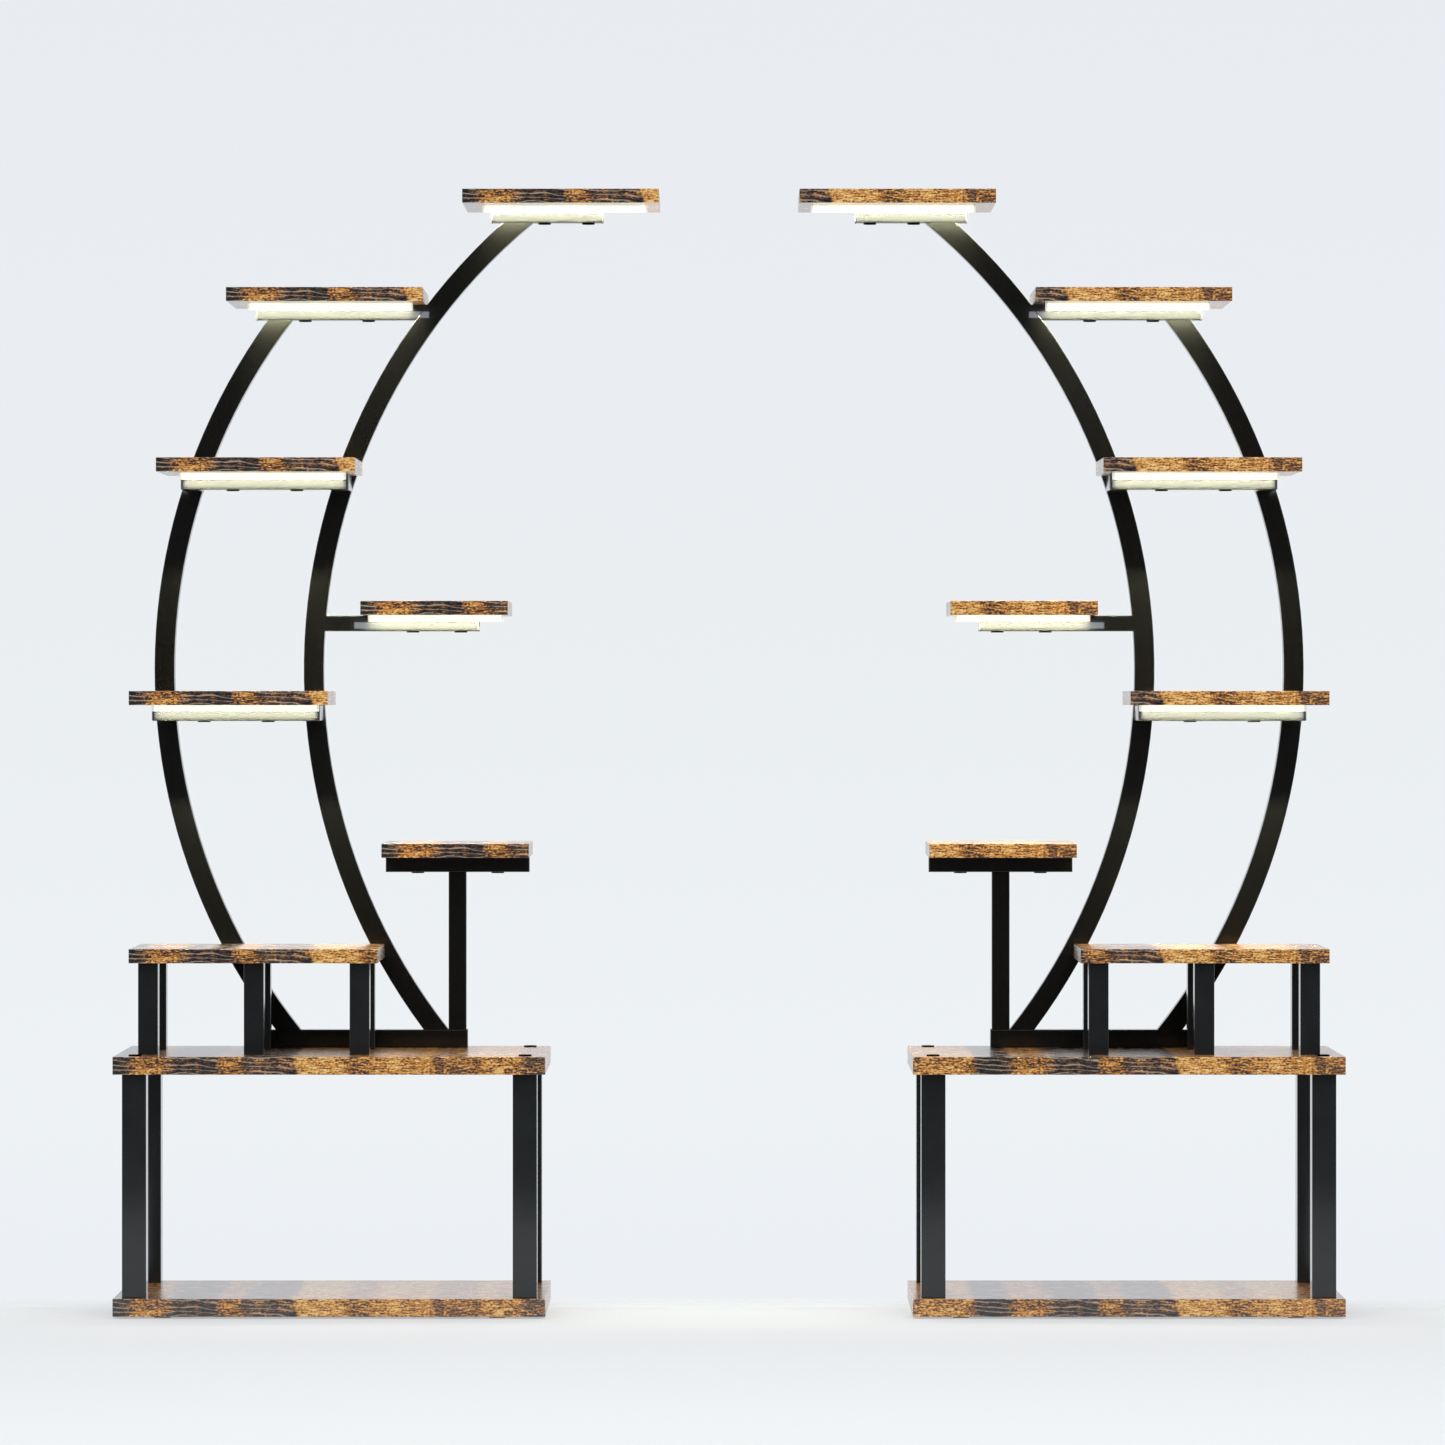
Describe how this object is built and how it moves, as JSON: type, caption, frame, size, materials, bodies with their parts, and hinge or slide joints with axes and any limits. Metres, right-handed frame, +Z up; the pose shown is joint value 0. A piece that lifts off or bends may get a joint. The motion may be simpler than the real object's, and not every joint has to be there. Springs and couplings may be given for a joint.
{
  "type": "plant stand with grow lights",
  "caption": "Pair of mirrored, curved plant stands: board base and bench, bent-tube frame, wooden shelves with light bars beneath.",
  "frame": {"origin": "on the floor, midway between the two stands and midway from front to back", "axes": "+X along the set to the right seen from the front, -Y is the front, +Z is up"},
  "size_m": [1.727, 0.3626, 1.595],
  "materials": {
    "rustic_board": "satin melamine with a rustic-brown wood print",
    "black_steel": "fine matte powder coat",
    "black_bolt": "black oxide",
    "zinc_steel": "zinc plated",
    "pad_rubber": "matte",
    "circuit_board": "white solder mask",
    "channel_aluminium": "plain extruded",
    "diffuser_plastic": "opal, lit from inside",
    "cap_plastic": "moulded",
    "plug_plastic": "moulded"
  },
  "bodies": {
    "root": {"base_screws": "zinc_steel", "bench_bolts": "black_bolt", "foot_pads": "pad_rubber", "led_strips": "circuit_board", "left_base_board": "rustic_board", "left_bench_board": "rustic_board", "left_column": "black_steel", "left_column_beam": "black_steel", "left_column_shelf": "rustic_board", "left_fourth_bracket": "black_steel", "left_fourth_shelf": "rustic_board", "left_frame_rail": "black_steel", "left_front_inner_post": "black_steel", "left_front_outer_post": "black_steel", "left_inner_arc": "black_steel", "left_outer_arc": "black_steel", "left_rear_inner_post": "black_steel", "left_rear_outer_post": "black_steel", "left_riser_board": "rustic_board", "left_riser_legs": "black_steel", "left_second_beam": "black_steel", "left_second_shelf": "rustic_board", "left_side_arm": "black_steel", "left_side_shelf": "rustic_board", "left_third_bracket": "black_steel", "left_third_shelf": "rustic_board", "left_top_beam": "black_steel", "left_top_shelf": "rustic_board", "light_channels": "channel_aluminium", "light_diffusers": "diffuser_plastic", "light_end_caps": "cap_plastic", "rail_bolts": "black_bolt", "right_base_board": "rustic_board", "right_bench_board": "rustic_board", "right_column": "black_steel", "right_column_beam": "black_steel", "right_column_shelf": "rustic_board", "right_fourth_bracket": "black_steel", "right_fourth_shelf": "rustic_board", "right_frame_rail": "black_steel", "right_front_inner_post": "black_steel", "right_front_outer_post": "black_steel", "right_inner_arc": "black_steel", "right_outer_arc": "black_steel", "right_rear_inner_post": "black_steel", "right_rear_outer_post": "black_steel", "right_riser_board": "rustic_board", "right_riser_legs": "black_steel", "right_second_beam": "black_steel", "right_second_shelf": "rustic_board", "right_side_arm": "black_steel", "right_side_shelf": "rustic_board", "right_third_bracket": "black_steel", "right_third_shelf": "rustic_board", "right_top_beam": "black_steel", "right_top_shelf": "rustic_board", "riser_screws": "zinc_steel", "riser_studs": "zinc_steel", "shelf_bolts": "black_bolt", "tube_plugs": "plug_plastic"}
  },
  "joints": []
}
